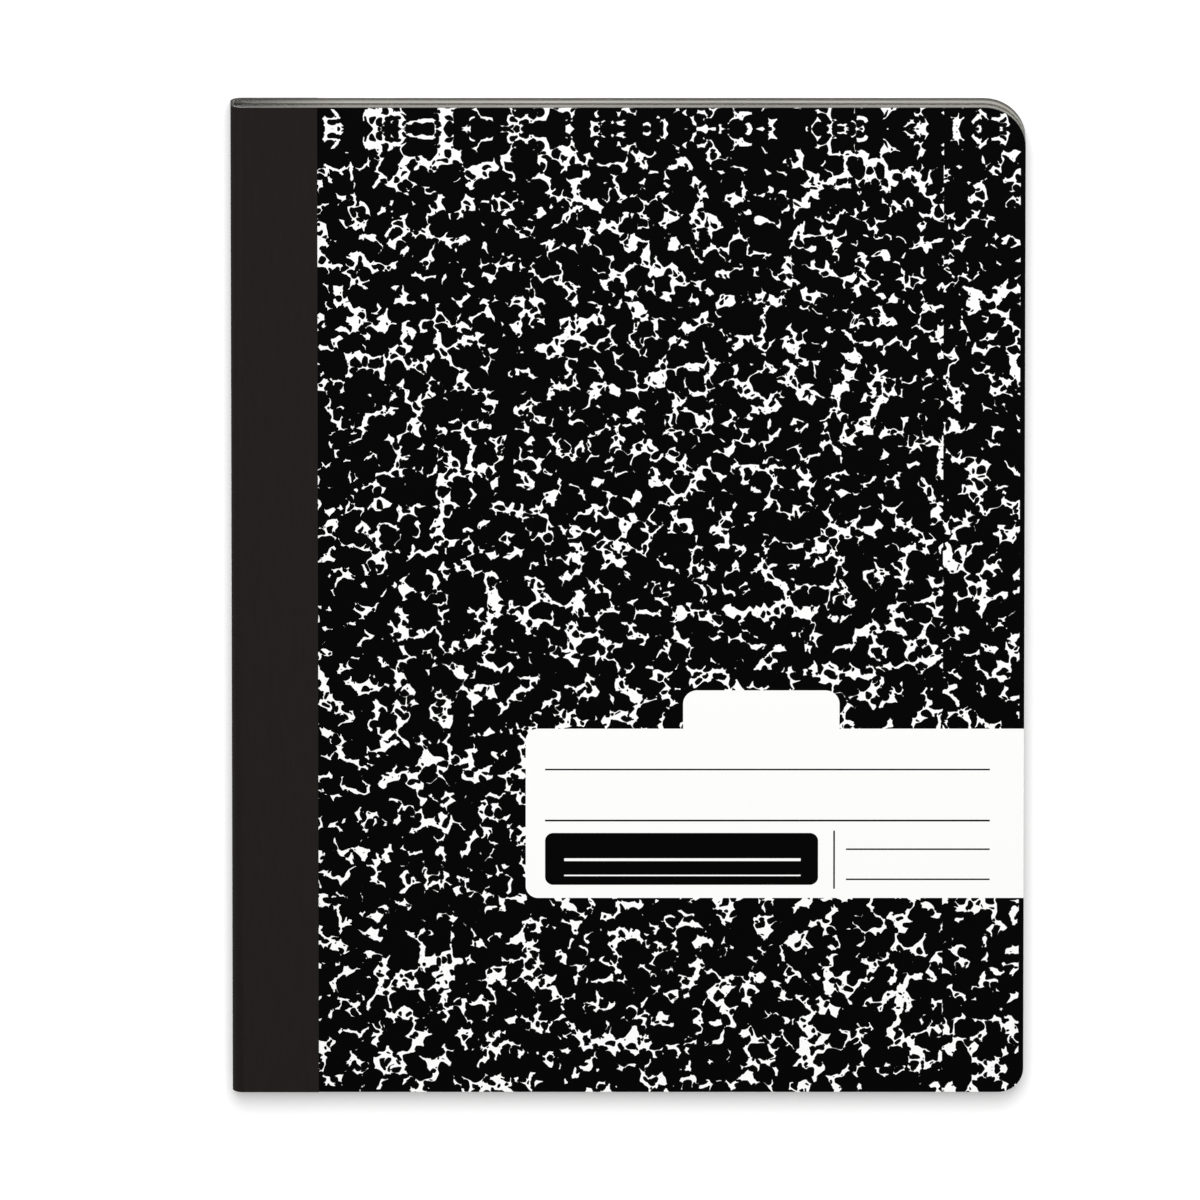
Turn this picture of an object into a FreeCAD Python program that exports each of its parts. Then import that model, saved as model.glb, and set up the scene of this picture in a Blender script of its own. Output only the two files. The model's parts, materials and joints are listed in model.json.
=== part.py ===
import FreeCAD, Part
import Sketcher
import os

# A sewn composition notebook, closed, lying on its back cover. Millimetres.
# X runs from the spine to the fore edge, Y from the tail to the head, Z up through the leaves.
# The origin is the middle of the notebook's footprint, on the surface that it lies on.

# Each of these sizes can be changed by itself.
drivingSizes = {
    "cover_height": 247.65,     # head to tail, 9 3/4 inches
    "cover_width": 190.5,       # spine to fore edge, 7 1/2 inches
    "leaf_count": 100,          # 50 sheets, each folded once
    "leaf_caliper": 0.07,       # one leaf of writing paper
    "card_thickness": 0.55,     # cover card
    "tape_thickness": 0.2,      # cloth tape over the spine
    "tape_reach": 20.8,         # how far the tape comes over each cover, from the spine
    "head_radius": 10.0,        # fore-edge corner at the head
    "tail_radius": 6.1,         # fore-edge corner at the tail
    "spine_radius": 2.6,        # the two long corners of the spine, outside the tape
    "crease_inset": 6.0,        # where a cover bends, from the spine
    "crease_gap": 0.1,          # between a cover and the spine's part of the card or tape
    "cover_gap": 0.05,          # air between the card and the leaves
    "thread_diameter": 0.35,    # sewing thread
    "leg_diameter": 0.3,        # the same thread, pulled tight through a hole
    "thread_gap": 0.05,         # round the thread, on every side
    "stitch_pitch": 12.0,       # hole to hole, nearly: the holes share out the seam evenly
    "stitch_margin": 9.0,       # first and last hole, from the tail and the head
    "thread_end": 3.0,          # what each thread has past its last hole
}

# These follow from the sizes above.
derivedSizes = {
    "ground_level": "=0",
    "block_thickness": "=leaf_count * leaf_caliper",
    "card_level": "=tape_thickness",
    "block_level": "=card_level + card_thickness + cover_gap",
    "front_card_level": "=block_level + block_thickness + cover_gap",
    "front_tape_level": "=front_card_level + card_thickness",
    "whole_thickness": "=front_tape_level + tape_thickness",
    "middle_level": "=whole_thickness / 2",
    "card_wrap_thickness": "=whole_thickness - 2 * tape_thickness",
    "spine_place": "=-cover_width / 2",
    "card_place": "=spine_place + tape_thickness",
    "block_place": "=card_place + card_thickness + cover_gap",
    "panel_place": "=spine_place + crease_inset + crease_gap / 2",
    "block_width": "=cover_width / 2 - block_place",
    "panel_width": "=cover_width / 2 - panel_place",
    "panel_tape_width": "=tape_reach - crease_inset - crease_gap / 2",
    "tape_arm": "=crease_inset - crease_gap / 2",
    "card_arm": "=tape_arm - tape_thickness",
    "tape_radius": "=min(spine_radius; 0.98 * middle_level)",
    "card_radius": "=max(tape_radius - tape_thickness; cover_gap)",
    "lining_radius": "=max(card_radius - card_thickness; cover_gap)",
    "block_radius": "=max(lining_radius - cover_gap; cover_gap)",
    "seam_length": "=cover_height - 2 * stitch_margin",
    "hole_count": "=floor(seam_length / stitch_pitch) + 1",
    "first_hole": "=seam_length / 2",
    "thread_length": "=seam_length + 2 * thread_end",
    "channel_length": "=thread_length + 2 * thread_gap",
    "hole_diameter": "=leg_diameter + 2 * thread_gap",
    "groove_width": "=thread_diameter + 2 * thread_gap",
    "run_inset": "=groove_width / 2",
    "loop_radius": "=thread_diameter + thread_gap",
    "loop_outside": "=2 * loop_radius + thread_diameter",
    "loop_inside": "=2 * loop_radius - thread_diameter",
    "channel_diameter": "=loop_outside + 2 * thread_gap",
    "fold_depth": "=block_thickness / 2",
    "fold_inset": "=card_thickness + cover_gap + fold_depth",
    "leg_length": "=fold_inset - loop_radius - run_inset",
}


def makeSheet(doc):
    sheet = doc.addObject("Spreadsheet::Sheet", "Sizes")
    rows = list(drivingSizes.items()) + list(derivedSizes.items())
    for row, (alias, content) in enumerate(rows, start=1):
        sheet.set(f"A{row}", alias)
        sheet.set(f"B{row}", str(content))
        sheet.setAlias(f"B{row}", alias)
    doc.recompute()


def size(thing, alias):
    return float(thing.Document.Sizes.get(alias))


def bind(thing, path, alias, share=""):
    thing.setExpression(path, f"Sizes.{alias}{share}")


def makeBody(doc, label, place, level):
    body = doc.addObject("PartDesign::Body", label)
    body.Label = label
    bind(body, "Placement.Base.x", place)
    bind(body, "Placement.Base.z", level)
    return body


def makeSketch(body, name, role):
    planes = [plane for plane in body.Origin.OriginFeatures if plane.Role == role]
    sketch = body.newObject("Sketcher::SketchObject", name)
    sketch.AttachmentSupport = [(planes[0], "")]
    sketch.MapMode = "FlatFace"
    return sketch


def measure(sketch, kind, start, end, alias):
    # A distance between two ends, each given as a line and which of its ends.
    value = size(sketch, alias)
    number = sketch.addConstraint(Sketcher.Constraint(kind, *start, *end, value))
    bind(sketch, f"Constraints[{number}]", alias)


def drawOutline(sketch, corners):
    # A closed outline from the sketch's origin, of level and upright lines by turns.
    count = len(corners)
    for index in range(count):
        start = FreeCAD.Vector(*corners[index], 0)
        end = FreeCAD.Vector(*corners[(index + 1) % count], 0)
        sketch.addGeometry(Part.LineSegment(start, end), False)
    for index in range(count):
        direction = "Vertical" if index % 2 else "Horizontal"
        sketch.addConstraint(Sketcher.Constraint(direction, index))
        sketch.addConstraint(Sketcher.Constraint("Coincident", index, 2, (index + 1) % count, 1))
    sketch.addConstraint(Sketcher.Constraint("Coincident", 0, 1, -1, 1))


def drawRectangle(sketch, width, depth):
    wide = size(sketch, width)
    deep = size(sketch, depth)
    drawOutline(sketch, [(0, 0), (wide, 0), (wide, deep), (0, deep)])
    measure(sketch, "DistanceX", (0, 1), (0, 2), width)
    measure(sketch, "DistanceY", (1, 1), (1, 2), depth)


def drawWrap(sketch, arm, wall, depth):
    # A square-cornered U on its side: a back wall and two arms.
    long = size(sketch, arm)
    thin = size(sketch, wall)
    deep = size(sketch, depth)
    inner = deep - thin
    drawOutline(sketch, [(0, 0), (long, 0), (long, thin), (thin, thin),
                         (thin, inner), (long, inner), (long, deep), (0, deep)])
    measure(sketch, "DistanceX", (0, 1), (0, 2), arm)
    measure(sketch, "DistanceX", (6, 2), (6, 1), arm)
    measure(sketch, "DistanceX", (0, 1), (2, 2), wall)
    measure(sketch, "DistanceY", (1, 1), (1, 2), wall)
    measure(sketch, "DistanceY", (5, 1), (5, 2), wall)
    measure(sketch, "DistanceY", (7, 2), (7, 1), depth)


def drawCircle(sketch, diameter, inset):
    # A round section on the sketch's level axis, that far along it.
    centre = FreeCAD.Vector(size(sketch, inset), 0, 0)
    across = size(sketch, diameter)
    circle = Part.Circle(centre, FreeCAD.Vector(0, 0, 1), across / 2)
    index = sketch.addGeometry(circle, False)
    number = sketch.addConstraint(Sketcher.Constraint("Diameter", index, across))
    bind(sketch, f"Constraints[{number}]", diameter)
    sketch.addConstraint(Sketcher.Constraint("PointOnObject", index, 3, -1))
    measure(sketch, "DistanceX", (-1, 1), (index, 3), inset)


def extrude(body, kind, sketch, name, length):
    # Half the length goes towards the head and half towards the tail.
    feature = body.newObject(f"PartDesign::{kind}", name)
    feature.Profile = sketch
    feature.SideType = "Symmetric"
    bind(feature, "Length", length)
    body.Document.recompute()
    return feature


def roundEdges(body, name, middles, radius):
    # The edges are found by their middle points.
    base = body.Tip
    points = [FreeCAD.Vector(*middle) for middle in middles]
    wanted = []
    for index, edge in enumerate(base.Shape.Edges, start=1):
        if any(edge.CenterOfMass.isEqual(point, 0.001) for point in points):
            wanted.append(f"Edge{index}")
    fillet = body.newObject("PartDesign::Fillet", name)
    fillet.Base = (base, wanted)
    bind(fillet, "Radius", radius)
    body.Document.recompute()


def roundForeEdge(body, width, thickness, bottom):
    # The cutter that trims the fore edge leaves a bigger corner at the head than at the tail.
    right = size(body, width)
    top = size(body, "cover_height") / 2
    middle = bottom + size(body, thickness) / 2
    roundEdges(body, "head_corner", [(right, top, middle)], "head_radius")
    roundEdges(body, "tail_corner", [(right, -top, middle)], "tail_radius")


def makePanel(doc, label, level, width, thickness):
    # A flat layer from the crease outwards.
    body = makeBody(doc, label, "panel_place", level)
    section = makeSketch(body, "section", "XZ_Plane")
    drawRectangle(section, width, thickness)
    extrude(body, "Pad", section, "layer", "cover_height")
    return body


def makeCoverPanel(doc, label, level):
    body = makePanel(doc, label, level, "panel_width", "card_thickness")
    roundForeEdge(body, "panel_width", "card_thickness", 0)


def makeWrap(doc, label, place, arm, wall, depth, outerRadius, innerRadius):
    # A layer that goes round the spine, from one crease to the other.
    body = makeBody(doc, label, place, "middle_level")
    section = makeSketch(body, "section", "XZ_Plane")
    drawWrap(section, arm, wall, depth)
    bind(section, "AttachmentOffset.Base.y", depth, " * -0.5")
    extrude(body, "Pad", section, "layer", "cover_height")
    outside = size(body, depth) / 2
    inside = outside - size(body, wall)
    thin = size(body, wall)
    roundEdges(body, "outer_corners", [(0, 0, outside), (0, 0, -outside)], outerRadius)
    roundEdges(body, "inner_corners", [(thin, 0, inside), (thin, 0, -inside)], innerRadius)
    return body


def repeatAlongSeam(body, name, originals, sketch):
    # One at every hole, from the head to the tail.
    pattern = body.newObject("PartDesign::LinearPattern", name)
    pattern.Originals = originals
    pattern.Direction = (sketch, ["H_Axis"])
    pattern.Reversed = True
    pattern.Mode = "Extent"
    bind(pattern, "Length", "seam_length")
    bind(pattern, "Occurrences", "hole_count")
    body.Tip = pattern
    body.Document.recompute()


def cutNeedleHoles(body, depth):
    # Round holes from the spine's side inwards, level with the middle of the leaves.
    sketch = makeSketch(body, "needle_hole", "YZ_Plane")
    drawCircle(sketch, "hole_diameter", "first_hole")
    pocket = body.newObject("PartDesign::Pocket", "first_needle_hole")
    pocket.Profile = sketch
    pocket.Reversed = True
    bind(pocket, "Length", depth)
    repeatAlongSeam(body, "needle_holes", [pocket], sketch)


def makePageBlock(doc):
    # All the leaves, with the space that the inner thread presses open at the middle fold.
    body = makeBody(doc, "page_block", "block_place", "middle_level")
    section = makeSketch(body, "section", "XZ_Plane")
    drawRectangle(section, "block_width", "block_thickness")
    bind(section, "AttachmentOffset.Base.y", "block_thickness", " * -0.5")
    extrude(body, "Pad", section, "leaves", "cover_height")
    outside = size(body, "block_thickness") / 2
    roundEdges(body, "folds", [(0, 0, outside), (0, 0, -outside)], "block_radius")
    roundForeEdge(body, "block_width", "block_thickness", -outside)
    channel = makeSketch(body, "middle_fold", "XZ_Plane")
    drawCircle(channel, "channel_diameter", "fold_depth")
    extrude(body, "Pocket", channel, "thread_space", "channel_length")
    cutNeedleHoles(body, "fold_depth")


def makeCoverSpine(doc):
    # The cover card's part round the spine, with the groove that the outer thread lies in.
    body = makeWrap(doc, "cover_spine", "card_place", "card_arm", "card_thickness",
                    "card_wrap_thickness", "card_radius", "lining_radius")
    groove = makeSketch(body, "groove", "XZ_Plane")
    drawRectangle(groove, "groove_width", "groove_width")
    bind(groove, "AttachmentOffset.Base.y", "groove_width", " * -0.5")
    extrude(body, "Pocket", groove, "thread_groove", "channel_length")
    cutNeedleHoles(body, "card_thickness")


def makeSpineTape(doc):
    makeWrap(doc, "spine_tape", "spine_place", "tape_arm", "tape_thickness",
             "whole_thickness", "tape_radius", "card_radius")


def makeLoop(body):
    # One ring of thread round the inner thread, pulled flat against the fold.
    sketch = makeSketch(body, "loop_section", "XZ_Plane")
    drawCircle(sketch, "loop_outside", "fold_inset")
    drawCircle(sketch, "loop_inside", "fold_inset")
    bind(sketch, "AttachmentOffset.Base.z", "first_hole", " * -1")
    return extrude(body, "Pad", sketch, "loop", "thread_diameter")


def makeOuterThread(doc):
    # It runs down the outside of the card. At each hole it goes in and round the inner thread.
    body = makeBody(doc, "outer_thread", "card_place", "middle_level")
    run = makeSketch(body, "run_section", "XZ_Plane")
    drawCircle(run, "thread_diameter", "run_inset")
    extrude(body, "Pad", run, "run", "thread_length")
    sketch = makeSketch(body, "leg_section", "YZ_Plane")
    drawCircle(sketch, "leg_diameter", "first_hole")
    bind(sketch, "AttachmentOffset.Base.z", "run_inset")
    leg = body.newObject("PartDesign::Pad", "leg")
    leg.Profile = sketch
    bind(leg, "Length", "leg_length")
    loop = makeLoop(body)
    repeatAlongSeam(body, "stitches", [leg, loop], sketch)


def makeInnerThread(doc):
    # It runs straight down the middle fold, through the outer thread's loops.
    body = makeBody(doc, "inner_thread", "card_place", "middle_level")
    section = makeSketch(body, "section", "XZ_Plane")
    drawCircle(section, "thread_diameter", "fold_inset")
    extrude(body, "Pad", section, "run", "thread_length")


def checkDocument(doc):
    for thing in doc.Objects:
        if {"Invalid", "Error"} & set(thing.State):
            raise RuntimeError(f"{thing.Name} failed: {thing.State}")
    for body in doc.findObjects("PartDesign::Body"):
        shape = body.Shape
        if shape.isNull() or not shape.isValid() or len(shape.Solids) != 1:
            raise RuntimeError(f"{body.Label} is not one sound solid")


def writeParts(doc):
    os.makedirs("parts", exist_ok=True)
    for body in doc.findObjects("PartDesign::Body"):
        body.Shape.exportStep(f"parts/{body.Label}.step")
        box = body.Shape.BoundBox
        print(f"{body.Label}: {body.Shape.Volume:.2f} mm3,",
              f"x {box.XMin:.2f} to {box.XMax:.2f}, y {box.YMin:.2f} to {box.YMax:.2f},",
              f"z {box.ZMin:.2f} to {box.ZMax:.2f}")


def main():
    doc = FreeCAD.newDocument("notebook")
    makeSheet(doc)
    makePageBlock(doc)
    makeCoverSpine(doc)
    makeSpineTape(doc)
    makeOuterThread(doc)
    makeInnerThread(doc)
    makeCoverPanel(doc, "front_cover", "front_card_level")
    makeCoverPanel(doc, "back_cover", "card_level")
    makePanel(doc, "front_tape", "front_tape_level", "panel_tape_width", "tape_thickness")
    makePanel(doc, "back_tape", "ground_level", "panel_tape_width", "tape_thickness")
    doc.recompute()
    checkDocument(doc)
    writeParts(doc)


main()
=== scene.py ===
import json
import math
import random

import bmesh
import bpy
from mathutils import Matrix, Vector


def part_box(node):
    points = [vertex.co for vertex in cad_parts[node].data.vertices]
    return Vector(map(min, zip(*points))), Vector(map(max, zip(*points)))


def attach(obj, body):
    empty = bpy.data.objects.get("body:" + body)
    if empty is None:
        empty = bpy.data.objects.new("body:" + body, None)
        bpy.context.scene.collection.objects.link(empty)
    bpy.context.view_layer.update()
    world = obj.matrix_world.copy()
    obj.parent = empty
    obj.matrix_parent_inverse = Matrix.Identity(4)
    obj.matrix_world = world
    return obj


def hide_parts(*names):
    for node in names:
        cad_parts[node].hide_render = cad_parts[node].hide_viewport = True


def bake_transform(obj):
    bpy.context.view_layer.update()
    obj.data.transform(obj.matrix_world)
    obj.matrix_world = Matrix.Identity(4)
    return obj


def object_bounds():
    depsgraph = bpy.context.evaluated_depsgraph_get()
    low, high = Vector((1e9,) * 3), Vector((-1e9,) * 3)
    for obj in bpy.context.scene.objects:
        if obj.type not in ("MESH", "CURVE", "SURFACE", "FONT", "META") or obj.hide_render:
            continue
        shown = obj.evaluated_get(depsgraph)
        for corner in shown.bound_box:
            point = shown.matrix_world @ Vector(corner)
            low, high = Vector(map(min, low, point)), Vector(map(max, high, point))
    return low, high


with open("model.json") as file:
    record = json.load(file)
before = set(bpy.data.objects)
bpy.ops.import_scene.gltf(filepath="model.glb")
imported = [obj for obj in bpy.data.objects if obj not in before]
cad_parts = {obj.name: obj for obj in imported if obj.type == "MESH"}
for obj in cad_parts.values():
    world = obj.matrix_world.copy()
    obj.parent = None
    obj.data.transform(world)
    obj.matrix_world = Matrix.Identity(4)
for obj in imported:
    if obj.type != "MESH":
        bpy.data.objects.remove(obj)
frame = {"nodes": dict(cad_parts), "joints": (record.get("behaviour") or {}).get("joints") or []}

# A composition notebook, closed and lying flat: marbled card covers, black cloth tape over
# the spine, a white label field, and a block of folded sheets sewn through the middle.

mm = 0.001
random.seed(11)
cadLow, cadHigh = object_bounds()
creaseAt = frame["joints"][0]["pos_m"][0]
width = (cadHigh.x - cadLow.x) / mm
height = (cadHigh.y - cadLow.y) / mm
thick = (cadHigh.z - cadLow.z) / mm


def linear(code):
    # an sRGB hex colour, as a shader socket wants it
    parts = [int(code[i:i + 2], 16) / 255 for i in (1, 3, 5)]
    return [p / 12.92 if p <= 0.04045 else ((p + 0.055) / 1.055) ** 2.4 for p in parts] + [1.0]


def addNode(tree, kind, inputs=None, **settings):
    # an input is a value, a socket, or a node whose first output is meant
    node = tree.nodes.new("ShaderNode" + kind)
    for name, value in settings.items():
        setattr(node, name, value)
    for key, value in (inputs or {}).items():
        if isinstance(value, bpy.types.Node):
            value = value.outputs[0]
        if isinstance(value, bpy.types.NodeSocket):
            tree.links.new(value, node.inputs[key])
        else:
            node.inputs[key].default_value = value
    return node


def startMaterial(name, roughness, gloss):
    # flat numbers stay on the shader's own sockets
    material = bpy.data.materials.new(name)
    material.use_nodes = True
    tree = material.node_tree
    tree.nodes.clear()
    shader = addNode(tree, "BsdfPrincipled", {"Roughness": roughness, "Specular IOR Level": gloss})
    addNode(tree, "OutputMaterial", {"Surface": shader})
    place = addNode(tree, "TexCoord").outputs["Object"]
    place = addNode(tree, "VectorMath", {0: place, 1: (cadLow.x, cadLow.y, 0)}, operation="SUBTRACT")
    place = addNode(tree, "VectorMath", {0: place, "Scale": 1 / mm}, operation="SCALE")
    return material, tree, shader, place        # place is in mm from the spine and from the tail


def finishSurface(tree, shader, colour, relief, depth):
    # depth is the relief's height in mm
    tree.links.new(colour, shader.inputs["Base Color"])
    bump = addNode(tree, "Bump", {"Height": relief, "Distance": depth * mm})
    tree.links.new(bump.outputs[0], shader.inputs["Normal"])


# The marbled print, in mm: round spots of black of three sizes that run together where they
# meet, and white wherever none falls.
marbling = {
    "bendGrain": 2.66, "bendReach": 1.98, "bendDetail": 0.3,            # the wander of the whole pattern
    "raggedGrain": 0.55, "raggedReach": 0.141, "raggedDetail": 1.36,    # the uneven rim of each spot
    "driftGrain": 18.74, "driftReach": 0.422,                           # some places are more open
    "breakGrain": 2.31, "breakReach": 0.506,                            # what breaks the white into flecks
    "thinGrain": 4.8,           # where the spots of one size are smaller than elsewhere
    "runTogether": 0.23,        # how far spots that meet flow into each other
    "cut": 0.05,                # how far outside the spots the white starts
    "spots": [                  # small and big are radii, in parts of a cell
        {"cell": 5.18, "small": 0.433, "big": 0.48, "thin": 1.11, "shift": 11.0},
        {"cell": 1.75, "small": 0.024, "big": 0.42, "thin": -0.1, "shift": 37.0},
        {"cell": 2.3, "small": 0.341, "big": 0.496, "thin": 0.83, "shift": 71.0},
    ],
    "foldBelowHead": 5.3,       # the print turns back on itself along this line
    "seamFromSpine": 170.9,     # where one repeat of the print meets the next
    "foldAboveTail": 5.9,       # past the seam only
    "seamJump": (38.0, 57.0, 0.0),      # how far the next repeat is moved
    "foreMargin": 1.2,          # solid black along the fore edge
    "ink": "#010101",
    "paper": "#F9F9F8",
}

# The label's plain fields, in mm from the spine and from the tail: left, right, low, high, corner.
label = {
    "white": {
        "panel": (70.65, 196.0, 49.1, 91.8, 3.0),
        "tab": (108.5, 146.1, 80.0, 101.45, 3.4),
    },
    "black": {
        "box": (75.3, 141.0, 52.4, 65.5, 2.0),
        "nameRule": (75.3, 182.3, 81.3, 81.7, 0.05),
        "longRule": (75.3, 182.3, 68.4, 68.85, 0.05),
        "divider": (144.65, 145.05, 51.4, 66.1, 0.05),
        "topRule": (147.7, 182.3, 61.2, 61.6, 0.05),
        "lowRule": (147.7, 182.3, 53.6, 54.0, 0.05),
    },
    "inBox": {
        "wideRule": (79.9, 136.8, 58.4, 59.1, 0.1),
        "narrowRule": (79.9, 136.8, 54.6, 54.95, 0.05),
    },
}


def wander(tree, place, way):
    # moves each point of the flat print a little, by an even noise
    swell = addNode(tree, "TexNoise", {"Vector": place, "Scale": 1 / marbling[way + "Grain"],
                                       "Detail": marbling[way + "Detail"]}, noise_dimensions="2D")
    swell = addNode(tree, "VectorMath", {0: swell.outputs["Color"], 1: (0.5, 0.5, 0.5)}, operation="SUBTRACT")
    swell = addNode(tree, "VectorMath", {0: swell, "Scale": marbling[way + "Reach"]}, operation="SCALE")
    return addNode(tree, "VectorMath", {0: place, 1: swell}, operation="ADD")


def outsideSpots(tree, place, thinner, spots):
    # how far a point lies outside the nearest spot, in mm; each cell has one spot of its own size
    shift = spots["shift"]
    moved = addNode(tree, "VectorMath", {0: place, 1: (shift, 1.7 * shift, 0)}, operation="ADD")
    cells = addNode(tree, "TexVoronoi", {"Vector": moved, "Scale": 1 / spots["cell"]},
                    voronoi_dimensions="2D")
    chance = addNode(tree, "SeparateColor", {0: cells.outputs["Color"]})
    radius = addNode(tree, "MapRange", {"Value": chance, "To Min": spots["small"], "To Max": spots["big"]})
    gap = addNode(tree, "Math", {0: cells.outputs["Distance"], 1: radius}, operation="SUBTRACT")
    gap = addNode(tree, "Math", {0: gap, 1: spots["cell"]}, operation="MULTIPLY")
    return addNode(tree, "Math", {0: thinner, 1: spots["thin"], 2: gap}, operation="MULTIPLY_ADD")


def marbleWhite(tree, place):
    # 1 where the paper shows between the spots
    bent = wander(tree, place, "bend")
    ragged = wander(tree, bent, "ragged")
    thinner = addNode(tree, "TexNoise", {"Vector": bent, "Scale": 1 / marbling["thinGrain"], "Detail": 0.0},
                      noise_dimensions="2D")
    thinner = addNode(tree, "Math", {0: thinner, 1: 0.5}, operation="SUBTRACT")
    gap = outsideSpots(tree, ragged, thinner, marbling["spots"][0])
    for spots in marbling["spots"][1:]:
        gap = addNode(tree, "Math", {0: gap, 1: outsideSpots(tree, ragged, thinner, spots),
                                     2: marbling["runTogether"]}, operation="SMOOTH_MIN")
    for way, where in (("drift", place), ("break", bent)):
        lift = addNode(tree, "TexNoise", {"Vector": where, "Scale": 1 / marbling[way + "Grain"],
                                          "Detail": 0.0}, noise_dimensions="2D")
        lift = addNode(tree, "Math", {0: lift, 1: 0.5}, operation="SUBTRACT")
        gap = addNode(tree, "Math", {0: lift, 1: marbling[way + "Reach"], 2: gap}, operation="MULTIPLY_ADD")
    return addNode(tree, "Math", {0: gap, 1: marbling["cut"]}, operation="GREATER_THAN")


def turnedBack(tree, value, line, side):
    # the value, mirrored where it passes the line: side is 1 above it and -1 below it
    past = addNode(tree, "Math", {0: value, 1: line}, operation="SUBTRACT")
    past = addNode(tree, "Math", {0: past}, operation="ABSOLUTE")
    return addNode(tree, "Math", {0: past, 1: -side, 2: line}, operation="MULTIPLY_ADD")


def repeatedPlace(tree, place):
    # the printed sheet is trimmed, so the print turns back near the head, and past the seam near the tail
    parts = addNode(tree, "SeparateXYZ", {0: place})
    up = turnedBack(tree, parts.outputs[1], height - marbling["foldBelowHead"], 1)
    leftPart = addNode(tree, "CombineXYZ", {0: parts, 1: up})
    upAgain = turnedBack(tree, up, marbling["foldAboveTail"], -1)
    rightPart = addNode(tree, "CombineXYZ", {0: parts, 1: upAgain})
    rightPart = addNode(tree, "VectorMath", {0: rightPart, 1: marbling["seamJump"]}, operation="ADD")
    past = addNode(tree, "Math", {0: parts, 1: marbling["seamFromSpine"]}, operation="GREATER_THAN")
    return addNode(tree, "Mix", {0: past, 4: leftPart, 5: rightPart}, data_type="VECTOR").outputs[1]


def insideField(tree, place, shape):
    # 1 inside a rectangle with rounded corners
    left, right, low, high, corner = shape
    middle = ((left + right) / 2, (low + high) / 2, 0)
    reach = ((right - left) / 2 - corner, (high - low) / 2 - corner, 1e6)      # at any height
    out = addNode(tree, "VectorMath", {0: place, 1: middle}, operation="SUBTRACT")
    out = addNode(tree, "VectorMath", {0: out}, operation="ABSOLUTE")
    out = addNode(tree, "VectorMath", {0: out, 1: reach}, operation="SUBTRACT")
    out = addNode(tree, "VectorMath", {0: out, 1: (0, 0, 0)}, operation="MAXIMUM")
    out = addNode(tree, "VectorMath", {0: out}, operation="LENGTH").outputs["Value"]
    return addNode(tree, "Math", {0: out, 1: corner}, operation="LESS_THAN")


def makePrintedCard(name, withLabel):
    # Pressed board faced with white paper and offset printed in black: dull, with hard-edged flecks
    material, tree, shader, place = startMaterial(name, 0.55, 0.04)
    white = marbleWhite(tree, repeatedPlace(tree, place))
    across = addNode(tree, "SeparateXYZ", {0: place})
    inMargin = addNode(tree, "Math", {0: across, 1: width - marbling["foreMargin"]}, operation="LESS_THAN")
    white = addNode(tree, "Math", {0: white, 1: inMargin}, operation="MULTIPLY")
    if withLabel:
        for shape in label["white"].values():
            white = addNode(tree, "Math", {0: white, 1: insideField(tree, place, shape)}, operation="MAXIMUM")
        for shape in label["black"].values():
            bare = addNode(tree, "Math", {0: 1.0, 1: insideField(tree, place, shape)}, operation="SUBTRACT")
            white = addNode(tree, "Math", {0: white, 1: bare}, operation="MULTIPLY")
        for shape in label["inBox"].values():
            white = addNode(tree, "Math", {0: white, 1: insideField(tree, place, shape)}, operation="MAXIMUM")
    colour = addNode(tree, "Mix", {0: white, 6: linear(marbling["ink"]), 7: linear(marbling["paper"])},
                     data_type="RGBA").outputs[2]
    grain = addNode(tree, "TexNoise", {"Vector": place, "Scale": 1 / 1.5, "Detail": 3.0})    # 1.5 mm
    finishSurface(tree, shader, colour, grain.outputs[0], 0.006)
    return material


def makeCardLining():
    # Uncoated pulp paper inside the card: matt, a little grey, with a faint mottle of fibres
    material, tree, shader, place = startMaterial("cardLining", 0.85, 0.3)
    mottle = addNode(tree, "TexNoise", {"Vector": place, "Scale": 1 / 1.4, "Detail": 4.0})
    fibres = addNode(tree, "VectorMath", {0: place, 1: (3.0, 0.5, 1.0)}, operation="MULTIPLY")   # 0.3 by 2 mm
    fibres = addNode(tree, "TexNoise", {"Vector": fibres, "Scale": 1.0, "Detail": 3.0})
    both = addNode(tree, "Math", {0: mottle, 1: fibres}, operation="MULTIPLY")
    colour = addNode(tree, "Mix", {0: both, 6: linear("#DAD7CF"), 7: linear("#F3F1EB")}, data_type="RGBA")
    finishSurface(tree, shader, colour.outputs[2], both.outputs[0], 0.03)
    return material


def makeCardEdge():
    # Guillotined board: grey pulp pressed in layers about 0.1 mm thick
    material, tree, shader, place = startMaterial("cardEdge", 0.9, 0.2)
    layers = addNode(tree, "VectorMath", {0: place, 1: (0.4, 0.4, 10.0)}, operation="MULTIPLY")
    layers = addNode(tree, "TexNoise", {"Vector": layers, "Scale": 1.0, "Detail": 3.0})
    colour = addNode(tree, "Mix", {0: layers, 6: linear("#2B2A28"), 7: linear("#6E6C66")}, data_type="RGBA")
    finishSurface(tree, shader, colour.outputs[2], layers.outputs[0], 0.02)
    return material


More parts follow.
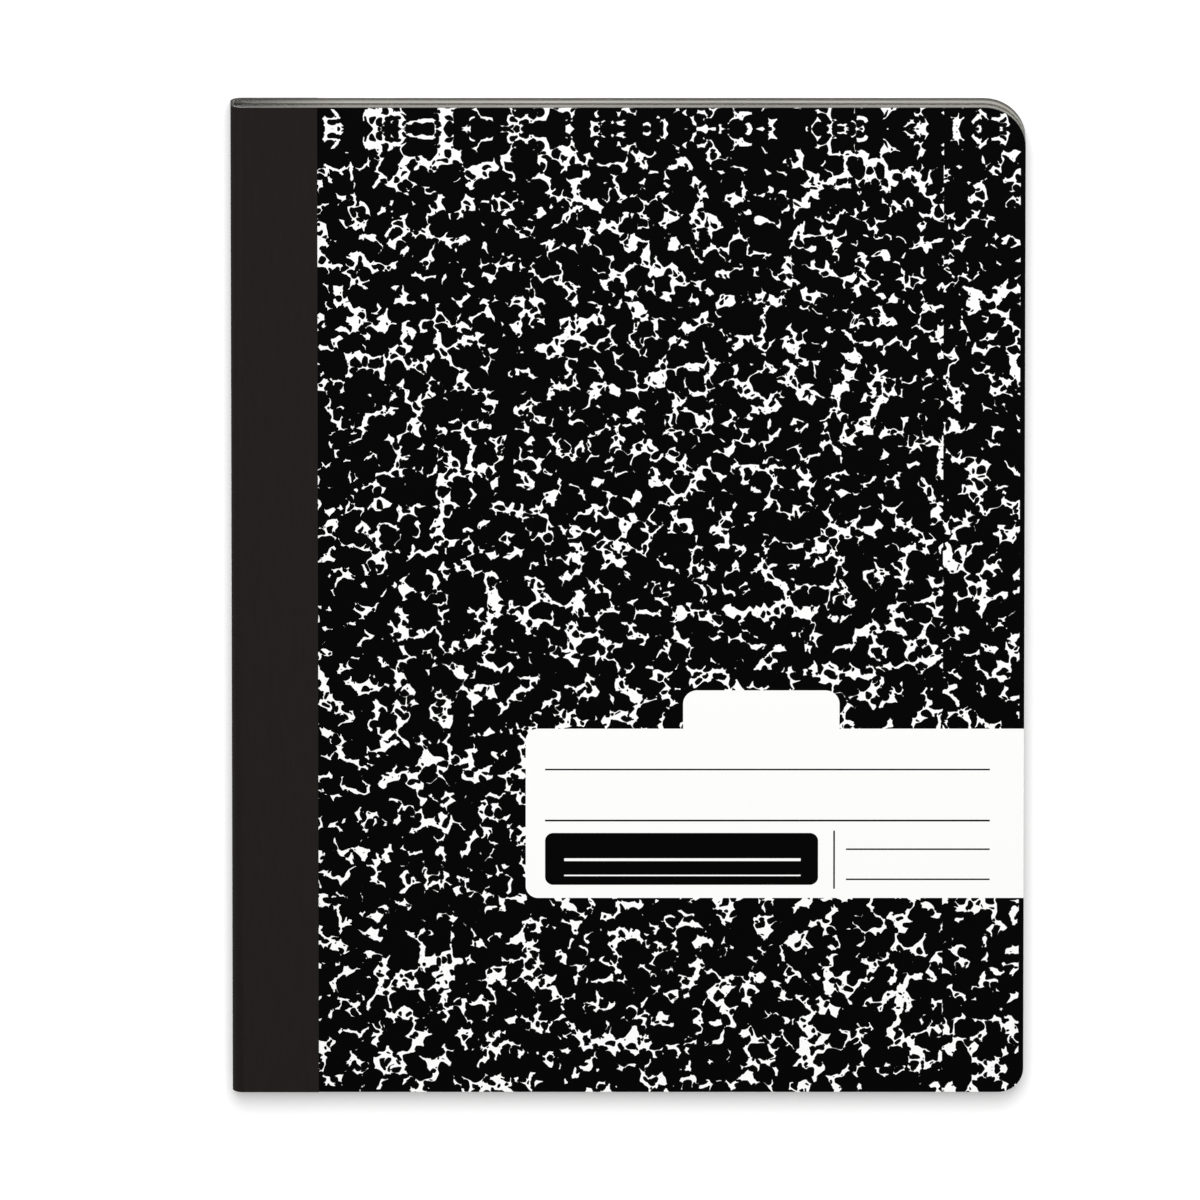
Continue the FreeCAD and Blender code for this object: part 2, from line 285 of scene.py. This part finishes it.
def makeBookCloth():
    # Black book cloth: a plain weave filled with size, so it is flat, even and nearly matt
    material, tree, shader, place = startMaterial("bookCloth", 0.75, 0.1)
    # a thread and its gap are 0.6 mm, twice the real size, to show
    threads = addNode(tree, "VectorMath", {0: place, "Scale": 2 * math.pi / 0.6}, operation="SCALE")
    threads = addNode(tree, "VectorMath", {0: threads}, operation="SINE")
    threads = addNode(tree, "SeparateXYZ", {0: threads})
    weave = addNode(tree, "Math", {0: threads, 1: threads.outputs[1]}, operation="MULTIPLY")
    slubs = addNode(tree, "VectorMath", {0: place, 1: (1.2, 0.15, 1.2)}, operation="MULTIPLY")
    slubs = addNode(tree, "TexNoise", {"Vector": slubs, "Scale": 1.0, "Detail": 2.0})
    relief = addNode(tree, "Math", {0: weave, 1: 0.5, 2: slubs}, operation="MULTIPLY_ADD")
    colour = addNode(tree, "Mix", {0: slubs, 6: linear("#1B1615"), 7: linear("#201B19")}, data_type="RGBA")
    finishSurface(tree, shader, colour.outputs[2], relief.outputs[0], 0.012)
    return material


ruling = {
    "pitch": 8.73,          # mm, wide ruled, 11/32 inch
    "header": 32.0,         # from the head down to the first line
    "line": 0.3,
    "margin": 31.75,        # from the spine, 1 1/4 inches
    "blue": "#A3BCDD",
    "red": "#E3A0AA",
}


def makeWritingPaper():
    # Uncoated white writing paper, ruled in pale blue with a red margin: matt, a little warm
    material, tree, shader, place = startMaterial("writingPaper", 0.9, 0.3)
    parts = addNode(tree, "SeparateXYZ", {0: place})
    down = addNode(tree, "Math", {0: height - ruling["header"] + ruling["line"] / 2, 1: parts.outputs[1]},
                   operation="SUBTRACT")
    started = addNode(tree, "Math", {0: down, 1: 0.0}, operation="GREATER_THAN")
    onLine = addNode(tree, "Math", {0: down, 1: ruling["pitch"]}, operation="MODULO")
    onLine = addNode(tree, "Math", {0: onLine, 1: ruling["line"]}, operation="LESS_THAN")
    onLine = addNode(tree, "Math", {0: onLine, 1: started}, operation="MULTIPLY")
    onMargin = addNode(tree, "Math", {0: parts, 1: ruling["margin"], 2: ruling["line"] / 2},
                       operation="COMPARE")
    fibres = addNode(tree, "TexNoise", {"Vector": place, "Scale": 1 / 0.8, "Detail": 4.0})
    colour = addNode(tree, "Mix", {0: fibres, 6: linear("#EAE9E4"), 7: linear("#F5F4F1")}, data_type="RGBA")
    for onIt, ink in ((onLine, "blue"), (onMargin, "red")):
        colour = addNode(tree, "Mix", {0: onIt, 6: colour.outputs[2], 7: linear(ruling[ink])},
                         data_type="RGBA")
    finishSurface(tree, shader, colour.outputs[2], fibres.outputs[0], 0.01)
    return material


# Painted shade on the cut edges of the leaves, by height in mm: the white paper is painted grey, darkest in
# bands in the middle and next to the covers, standing in for the shade in the gaps between the leaves and
# beside the covers.
leafEdgeShadeAndTone = {
    "shadeBands": (
        (0.8, "#3F3E3A"), (1.3, "#4C4B46"), (2.1, "#716F68"), (2.9, "#A9A79E"), (3.7, "#C6C4BA"),
        (4.5, "#7A7871"), (5.3, "#504E49"), (6.1, "#66645D"), (7.0, "#B0AEA5"), (7.75, "#474640"),
    ),
    "streaks": (0.02, 0.02, 2.8),      # to a mm, so about 50 mm long and 0.4 mm thick
    "darkStreak": 0.45,
    "paleStreak": 1.4,
    "spineShadeReach": 28.0,                # mm from the spine, over which painted shade darkens the leaf edges towards the spine
    "spineShadeLevel": 0.15,
}


def makeLeafEdge():
    # Knife-cut edges of thin paper, matt, with streaks along the leaves; painted shade makes them grey in
    # bands by height and darker towards the spine
    material, tree, shader, place = startMaterial("leafEdge", 0.95, 0.1)
    across = addNode(tree, "SeparateXYZ", {0: place})
    rise = addNode(tree, "MapRange", {"Value": across.outputs[2], "From Max": thick})
    # painted shade: grey bands by height, darkest in the middle and next to the covers
    shadeBands = addNode(tree, "ValToRGB", {"Fac": rise})
    stops = shadeBands.color_ramp.elements
    while len(stops) > 1:
        stops.remove(stops[0])
    level, code = leafEdgeShadeAndTone["shadeBands"][0]
    stops[0].position = level / thick
    stops[0].color = linear(code)
    for level, code in leafEdgeShadeAndTone["shadeBands"][1:]:
        stops.new(level / thick).color = linear(code)
    streaks = addNode(tree, "VectorMath", {0: place, 1: leafEdgeShadeAndTone["streaks"]}, operation="MULTIPLY")
    streaks = addNode(tree, "TexNoise", {"Vector": streaks, "Scale": 1.0, "Detail": 3.0, "Roughness": 0.7})
    lift = addNode(tree, "MapRange", {"Value": streaks, "From Min": 0.3, "From Max": 0.7,
                                      "To Min": leafEdgeShadeAndTone["darkStreak"], "To Max": leafEdgeShadeAndTone["paleStreak"]})
    # painted shade: the leaf edges get darker towards the spine, down to the lowest factor at the spine
    spineShade = addNode(tree, "MapRange", {"Value": across, "From Max": leafEdgeShadeAndTone["spineShadeReach"],
                                       "To Min": leafEdgeShadeAndTone["spineShadeLevel"]})
    lift = addNode(tree, "Math", {0: lift, 1: spineShade}, operation="MULTIPLY")
    colour = addNode(tree, "VectorMath", {0: shadeBands, "Scale": lift}, operation="SCALE")
    finishSurface(tree, shader, colour.outputs[0], streaks.outputs[0], 0.01)
    return material


def makeSewingCotton():
    # Twisted white cotton thread, one turn to about 0.7 mm
    material, tree, shader, place = startMaterial("sewingCotton", 0.8, 0.3)
    twist = addNode(tree, "VectorMath", {0: place, 1: (9.0, 9.0, 9.0)}, operation="DOT_PRODUCT")
    twist = addNode(tree, "Math", {0: twist.outputs["Value"]}, operation="SINE")
    shade = addNode(tree, "MapRange", {"Value": twist, "From Min": -1.0})
    colour = addNode(tree, "Mix", {0: shade, 6: linear("#CFCCC4"), 7: linear("#F1EFEA")}, data_type="RGBA")
    finishSurface(tree, shader, colour.outputs[2], shade.outputs[0], 0.02)
    return material


frontPrint = makePrintedCard("printedCardFront", True)
backPrint = makePrintedCard("printedCardBack", False)
cardLining = makeCardLining()
cardEdge = makeCardEdge()
bookCloth = makeBookCloth()
writingPaper = makeWritingPaper()
leafEdge = makeLeafEdge()
sewingCotton = makeSewingCotton()
print("materials made")


def drawSheet(path, low, high, upwards):
    # a sheet with no thickness: its path in X and Z, drawn out from the tail to the head
    bm = bmesh.new()
    ends = [bm.verts.new((x, low, z)) for x, z in path]
    lines = [bm.edges.new(pair) for pair in zip(ends, ends[1:])]
    made = bmesh.ops.extrude_edge_only(bm, edges=lines)["geom"]
    moved = [part for part in made if isinstance(part, bmesh.types.BMVert)]
    bmesh.ops.translate(bm, verts=moved, vec=(0, high - low, 0))
    bm.normal_update()
    top = max(bm.faces, key=lambda face: face.calc_center_median().z)
    if (top.normal.z > 0) != upwards:
        bmesh.ops.reverse_faces(bm, faces=bm.faces[:])
    return bm


def roundFold(bm, x, z, radius, segments):
    # the long edge of the sheet at x and z
    found = [e for e in bm.edges if all(abs(v.co.x - x) + abs(v.co.z - z) < 1e-6 for v in e.verts)]
    bmesh.ops.bevel(bm, geom=found, offset=radius, offset_type="OFFSET", segments=segments, profile=0.5,
                    material=-1, affect="EDGES")


def roundCorners(bm, x, y, radius, segments):
    # the sheet's corners at x and y, above and below
    found = [v for v in bm.verts if abs(v.co.x - x) + abs(v.co.y - y) < 1e-6]
    bmesh.ops.bevel(bm, geom=found, offset=radius, offset_type="OFFSET", segments=segments, profile=0.5,
                    material=-1, affect="VERTICES")


def cutForBend(bm, reach, count):
    # cuts along the crease, close enough together for the bend to look round
    for i in range(count + 1):
        x = creaseAt + (2 * i / count - 1) * reach
        bmesh.ops.bisect_plane(bm, geom=bm.verts[:] + bm.edges[:] + bm.faces[:], plane_co=(x, 0, 0),
                               plane_no=(1, 0, 0))


def giveThickness(bm, thickness, innerFinish, rimFinish):
    # the outer face stays where it is, and the inner one goes behind it
    outer = set(bm.faces)
    made = bmesh.ops.solidify(bm, geom=bm.faces[:], thickness=thickness)["geom"]
    inner = {part for part in made if isinstance(part, bmesh.types.BMFace)}
    for face in bm.faces:
        if face in inner:
            face.material_index = innerFinish
        elif face not in outer:
            face.material_index = rimFinish


def softenRim(bm, rimFinish, amount, joinX):
    # a knife-cut edge, very slightly rounded, except where two halves of a piece meet
    found = []
    for edge in bm.edges:
        kinds = [face.material_index == rimFinish for face in edge.link_faces]
        atJoin = all(abs(v.co.x - joinX) < 1e-6 for v in edge.verts)
        if sorted(kinds) == [False, True] and not atJoin:
            found.append(edge)
    bmesh.ops.bevel(bm, geom=found, offset=amount, offset_type="OFFSET", segments=2, profile=0.5,
                    material=-1, affect="EDGES", clamp_overlap=True)


# Where the colours of a piece go on its bake map. A pair is a start and a length.
bakeMap = {
    "sides": ((0.005, 0.8), (0.815, 0.145)),      # across: the outer face, and the lining
    "height": (0.005, 0.99),
    "rimHeight": (0.005, 0.66),
    "wrapRim": (0.968, 0.027),                    # across
    "pagesRim": (0.82, 0.175),
}


def layOutBakeMap(bm, alongPath, depthOf, rimFinish, rimStrip):
    # the rim runs up its strip by its direction from the middle of the piece
    layer = bm.loops.layers.uv.new("OFBake")
    runs = [alongPath(vert.co) for vert in bm.verts]
    first = min(runs)
    length = max(runs) - first
    rimStart, rimSpan = rimStrip
    rimLow, rimRise = bakeMap["rimHeight"]
    low, wholeRise = bakeMap["height"]
    for face in bm.faces:
        places = []
        for loop in face.loops:
            run = (alongPath(loop.vert.co) - first) / length
            rise = (loop.vert.co.y - cadLow.y) / (cadHigh.y - cadLow.y)
            places.append((run, rise, depthOf(loop.vert.co)))
        if face.material_index == rimFinish:
            turns = [math.atan2(rise - 0.5, run - 0.5) / (2 * math.pi) + 0.5 for run, rise, depth in places]
            if max(turns) - min(turns) > 0.5:
                turns = [turn + 1 if turn < 0.5 else turn for turn in turns]
            corners = [(rimStart + rimSpan * place[2], rimLow + rimRise * turn)
                       for place, turn in zip(places, turns)]
        else:
            start, span = bakeMap["sides"][face.material_index]
            corners = [(start + span * run, low + wholeRise * rise) for run, rise, depth in places]
        for loop, corner in zip(face.loops, corners):
            loop[layer].uv = corner


def finishPiece(name, bm, finishes, nodes):
    for face in bm.faces:
        normal = face.normal
        face.smooth = abs(normal.y) < 0.01 and 0.01 < abs(normal.z) < 0.999      # the folds only
    mesh = bpy.data.meshes.new(name)
    bm.to_mesh(mesh)
    bm.free()
    for finish in finishes:
        mesh.materials.append(finish)
    piece = bpy.data.objects.new(name, mesh)
    bpy.context.scene.collection.objects.link(piece)
    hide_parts(*nodes)
    return piece


# The cover is one card from fore edge to fore edge.
card = {
    "thickness": 0.55 * mm,
    "fold": 2.4 * mm,          # outside, over the spine
    "foldCuts": 10,
    "headCorner": 10.0 * mm,   # the cutter leaves a bigger corner at the head than at the tail
    "headCuts": 14,
    "tailCorner": 6.1 * mm,
    "tailCuts": 12,
    "bend": 1.2 * mm,          # each side of the crease
    "bendCuts": 14,
    "join": 1.5 * mm,          # from the back crease towards the spine
    "rim": 0.08 * mm,
}
tape = {
    "thickness": 0.2 * mm,
    "fold": 2.6 * mm,
    "join": card["join"],
    "rim": 0.05 * mm,
}


def makeWrapHalves(name, size, outer, reachX, corners, finishes, frontNodes, backNodes):
    # outer is the layer's outside: its top, its bottom and its spine side
    top, bottom, side = outer
    joinX = creaseAt - size["join"]

    def alongPath(place):
        if place.z > (top + bottom) / 2:
            return (reachX - place.x) + (top - place.z)
        return (reachX - side) + (top - place.z) + (place.x - side)

    def depthOf(place):
        # how far through the layer, from 0 at its outer face to 1 at its inner one
        level = min(top - place.z, place.z - bottom)
        acrossFold = side + size["fold"] - place.x
        if acrossFold > 0 and level < size["fold"]:
            return (size["fold"] - math.hypot(acrossFold, size["fold"] - level)) / size["thickness"]
        return min(level, place.x - side) / size["thickness"]

    front = drawSheet([(reachX, top), (side, top), (side, bottom), (joinX, bottom)],
                      cadLow.y, cadHigh.y, True)
    for level in (top, bottom):
        roundFold(front, side, level, size["fold"], card["foldCuts"])
    back = drawSheet([(joinX, bottom), (reachX, bottom)], cadLow.y, cadHigh.y, False)
    pieces = []
    for bm, half, nodes in ((front, "Front", frontNodes), (back, "Back", backNodes)):
        if corners:
            roundCorners(bm, reachX, cadHigh.y, size["headCorner"], size["headCuts"])
            roundCorners(bm, reachX, cadLow.y, size["tailCorner"], size["tailCuts"])
        cutForBend(bm, card["bend"], card["bendCuts"])
        giveThickness(bm, size["thickness"], 1, 2)
        softenRim(bm, 2, size["rim"], joinX)
        bm.normal_update()
        layOutBakeMap(bm, alongPath, depthOf, 2, bakeMap["wrapRim"])
        pieces.append(finishPiece(name + half, bm, finishes[half], nodes))
    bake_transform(pieces[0])
    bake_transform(pieces[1])


spineLow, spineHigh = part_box("cover_spine")
makeWrapHalves(
    "coverCard", card, (spineHigh.z, spineLow.z, spineLow.x), cadHigh.x, True,
    {"Front": (frontPrint, cardLining, cardEdge), "Back": (backPrint, cardLining, cardEdge)},
    ("front_cover", "cover_spine"), ("back_cover",))
print("cover card made")

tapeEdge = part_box("front_tape")[1].x
makeWrapHalves(
    "clothTape", tape, (cadHigh.z, cadLow.z, cadLow.x), tapeEdge, False,
    {"Front": (bookCloth, bookCloth, bookCloth), "Back": (bookCloth, bookCloth, bookCloth)},
    ("front_tape", "spine_tape"), ("back_tape",))
print("cloth tape made")

# Fifty sheets, each folded once and laid inside the last: a hundred leaves. They are sewn
# together through the fold and trimmed together.
pages = {
    "sheets": 50,
    "sheet": 0.067 * mm,       # a little under the pitch, which leaves a thin gap between the leaves
    "fold": 1.8 * mm,          # outermost sheet, outside
    "smallestFold": 0.1 * mm,
    "tightestFold": 0.45,      # the fold's radius in the middle sheets, as a part of their thickness
    "outerSheets": 12,         # the ones with enough of a fold to be cut finely
    "outerCuts": 5,
    "innerCuts": 2,
    "cornerCuts": 10,
    "trim": 0.0015 * mm,       # how unevenly the knife leaves the edges
}
blockLow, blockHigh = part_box("page_block")


def addSheet(whole, index, setBack):
    # index counts from the outermost sheet
    pitch = (blockHigh.z - blockLow.z) / (2 * pages["sheets"])
    inset = index * pitch
    top = blockHigh.z - inset
    bottom = blockLow.z + inset
    left = blockLow.x + inset
    right = blockHigh.x - setBack
    bm = drawSheet([(right, top), (left, top), (left, bottom), (right, bottom)],
                   blockLow.y + setBack, blockHigh.y - setBack, True)
    radius = max(pages["fold"] - inset, pages["smallestFold"])
    radius = min(radius, (top - bottom) * pages["tightestFold"])
    cuts = pages["outerCuts"] if index < pages["outerSheets"] else pages["innerCuts"]
    for z in (top, bottom):
        roundFold(bm, left, z, radius, cuts)
    for y, corner in ((blockHigh.y - setBack, "headCorner"), (blockLow.y + setBack, "tailCorner")):
        roundCorners(bm, right, y, card[corner], pages["cornerCuts"])
    giveThickness(bm, pages["sheet"], 0, 1)
    sheet = bpy.data.meshes.new("sheet")
    bm.to_mesh(sheet)
    bm.free()
    whole.from_mesh(sheet)
    bpy.data.meshes.remove(sheet)


def makePages():
    whole = bmesh.new()
    for index in range(pages["sheets"]):
        addSheet(whole, index, random.uniform(0, pages["trim"]))
    whole.normal_update()
    thickness = blockHigh.z - blockLow.z
    layOutBakeMap(whole, lambda place: place.x, lambda place: (place.z - blockLow.z) / thickness, 1,
                  bakeMap["pagesRim"])
    piece = finishPiece("pages", whole, (writingPaper, leafEdge), ("page_block",))
    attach(piece, "leaves")


makePages()
print("pages made")

for name in ("outer_thread", "inner_thread"):
    thread = frame["nodes"][name]
    thread.data.materials.clear()
    thread.data.materials.append(sewingCotton)


# The table, the light and the camera.
table = {
    "level": -0.86 * mm,       # just low enough for the back cover, opened flat, to lie on it
    "reach": 6.0,              # metres
    "colour": "#F1F1F1",
    "glow": 0.22,              # what the camera sees besides the lamps, so that bare table is white
    "farGlow": 1.0,            # the same where the lamp no longer reaches
    "nearAndFar": (0.25, 1.6),     # metres from the middle, where the one glow ends and the other starts
}


def makeTable():
    # Seamless white paper, matt
    material = bpy.data.materials.new("backdropPaper")
    material.use_nodes = True
    tree = material.node_tree
    tree.nodes.clear()
    path = addNode(tree, "LightPath")
    seen = addNode(tree, "Math", {0: path.outputs["Is Camera Ray"], 1: path.outputs["Is Glossy Ray"]},
                   operation="MAXIMUM")
    seen = addNode(tree, "Math", {0: seen, 1: path.outputs["Is Transmission Ray"]}, operation="MAXIMUM")
    away = addNode(tree, "TexCoord").outputs["Object"]
    away = addNode(tree, "VectorMath", {0: away}, operation="LENGTH").outputs["Value"]
    near, far = table["nearAndFar"]
    level = addNode(tree, "MapRange", {"Value": away, "From Min": near, "From Max": far,
                                       "To Min": table["glow"], "To Max": table["farGlow"]})
    glow = addNode(tree, "Math", {0: seen, 1: level}, operation="MULTIPLY")
    paper = addNode(tree, "BsdfDiffuse", {"Color": linear(table["colour"])})
    light = addNode(tree, "Emission", {"Color": (1, 1, 1, 1), "Strength": glow})
    both = addNode(tree, "AddShader", {0: paper, 1: light})
    addNode(tree, "OutputMaterial", {"Surface": both})
    bm = bmesh.new()
    bmesh.ops.create_grid(bm, x_segments=1, y_segments=1, size=table["reach"])
    bmesh.ops.translate(bm, verts=bm.verts[:], vec=(0, 0, table["level"]))
    mesh = bpy.data.meshes.new("table")
    bm.to_mesh(mesh)
    bm.free()
    mesh.materials.append(material)
    piece = bpy.data.objects.new("table", mesh)
    bpy.context.scene.collection.objects.link(piece)


lighting = {
    "tilt": 29.0,              # degrees from overhead towards the head of the book
    "distance": 3.0,           # metres
    "across": 1.6,             # the lamp's size, metres
    "along": 1.8,
    "watts": 90.0,
    "room": 0.25,              # even light from all round
}


def makeLighting():
    lamp = bpy.data.lights.new("softbox", "AREA")
    lamp.shape = "RECTANGLE"
    lamp.size = lighting["across"]
    lamp.size_y = lighting["along"]
    lamp.energy = lighting["watts"]
    softbox = bpy.data.objects.new("softbox", lamp)
    tilt = math.radians(lighting["tilt"])
    softbox.location = (0, lighting["distance"] * math.sin(tilt), lighting["distance"] * math.cos(tilt))
    softbox.rotation_euler = (-tilt, 0, 0)
    bpy.context.scene.collection.objects.link(softbox)
    world = bpy.data.worlds.new("room")
    bpy.context.scene.world = world
    world.use_nodes = True
    world.node_tree.nodes.clear()
    sky = addNode(world.node_tree, "Background", {"Color": (1, 1, 1, 1), "Strength": lighting["room"]})
    addNode(world.node_tree, "OutputWorld", {"Surface": sky})


camera = {
    "lens": 1400.0,            # mm, a long lens from far off, because the photograph shows no perspective
    "sensor": 36.0,            # mm
    "tilt": 17.3,              # degrees from overhead, so that the head edge shows above the cover
    "target": (-6.726 * mm, 0.44 * mm, 8.6 * mm),
    "scale": 4.163,            # photograph pixels to a mm
    "frame": 1200,             # photograph pixels
    "clip": (0.1, 100.0),      # metres
}


def makeCamera():
    data = bpy.data.cameras.new("camera")
    data.lens = camera["lens"]
    data.sensor_width = camera["sensor"]
    data.clip_start, data.clip_end = camera["clip"]
    distance = camera["lens"] / camera["sensor"] * camera["frame"] / camera["scale"] * mm
    tilt = math.radians(camera["tilt"])
    piece = bpy.data.objects.new("camera", data)
    piece.location = Vector(camera["target"]) + distance * Vector((0, math.sin(tilt), math.cos(tilt)))
    piece.rotation_euler = (-tilt, 0, 0)
    bpy.context.scene.collection.objects.link(piece)
    bpy.context.scene.camera = piece


makeTable()
makeLighting()
makeCamera()
bpy.context.scene.view_settings.view_transform = "Standard"
print("stage made")
